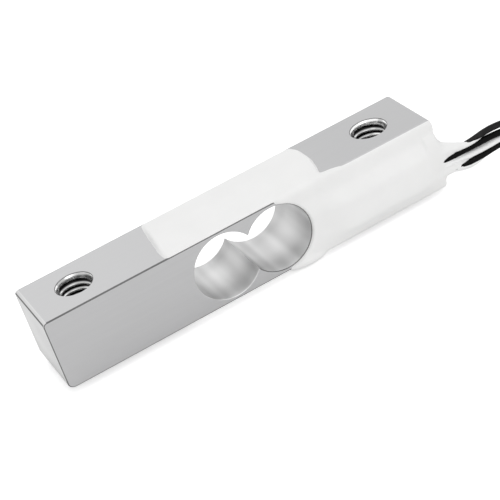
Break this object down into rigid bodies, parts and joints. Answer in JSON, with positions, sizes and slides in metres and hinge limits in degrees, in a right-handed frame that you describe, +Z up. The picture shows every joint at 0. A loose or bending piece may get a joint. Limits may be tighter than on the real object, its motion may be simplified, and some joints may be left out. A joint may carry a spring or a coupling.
{
  "type": "single point load cell",
  "caption": "Square aluminium load cell bar with crossing bores, tapped end holes, white silicone over its gauges and four thin leads.",
  "frame": {"origin": "on the bar's lower face, midway between the two tapped holes", "axes": "+X along the bar towards the end the leads leave, +Y across it away from the wired face, +Z up"},
  "size_m": [0.1391, 0.015, 0.0147],
  "materials": {
    "bar_aluminium": "satin, fine sawn and ground grain",
    "white_silicone": "soft semi-gloss",
    "gauge_polyimide": "thin amber film",
    "gauge_foil": "matt etched foil",
    "terminal_board": "thin glass-filled film",
    "resistor_body": "matt",
    "solder": "bright tin",
    "enamelled_copper": "clear enamel over copper",
    "lead_dark_grey": "satin PVC",
    "lead_black": "satin PVC",
    "lead_white": "satin PVC",
    "lead_charcoal": "satin PVC",
    "tie_plastic": "satin",
    "tinned_copper": "bright tin"
  },
  "bodies": {
    "root": {"balance_resistor": "resistor_body", "beam": "bar_aluminium", "bridge_jumpers_bottom": "enamelled_copper", "bridge_jumpers_top": "enamelled_copper", "coil_tie": "tie_plastic", "gauge_carrier_bottom_left": "gauge_polyimide", "gauge_carrier_bottom_right": "gauge_polyimide", "gauge_carrier_top_left": "gauge_polyimide", "gauge_carrier_top_right": "gauge_polyimide", "gauge_foil_bottom_left": "gauge_foil", "gauge_foil_bottom_right": "gauge_foil", "gauge_foil_top_left": "gauge_foil", "gauge_foil_top_right": "gauge_foil", "gauge_wires_bottom": "enamelled_copper", "gauge_wires_top": "enamelled_copper", "lead_board": "terminal_board", "lead_coil": "lead_black", "lead_excitation_minus": "lead_black", "lead_excitation_plus": "lead_dark_grey", "lead_signal_minus": "lead_charcoal", "lead_signal_plus": "lead_white", "silicone_coating": "white_silicone", "solder_joints_board": "solder", "solder_joints_bottom": "solder", "solder_joints_top": "solder", "terminal_strip_bottom": "terminal_board", "terminal_strip_top": "terminal_board", "tinned_end_excitation_minus": "tinned_copper", "tinned_end_excitation_plus": "tinned_copper", "tinned_end_signal_minus": "tinned_copper", "tinned_end_signal_plus": "tinned_copper"}
  },
  "joints": []
}
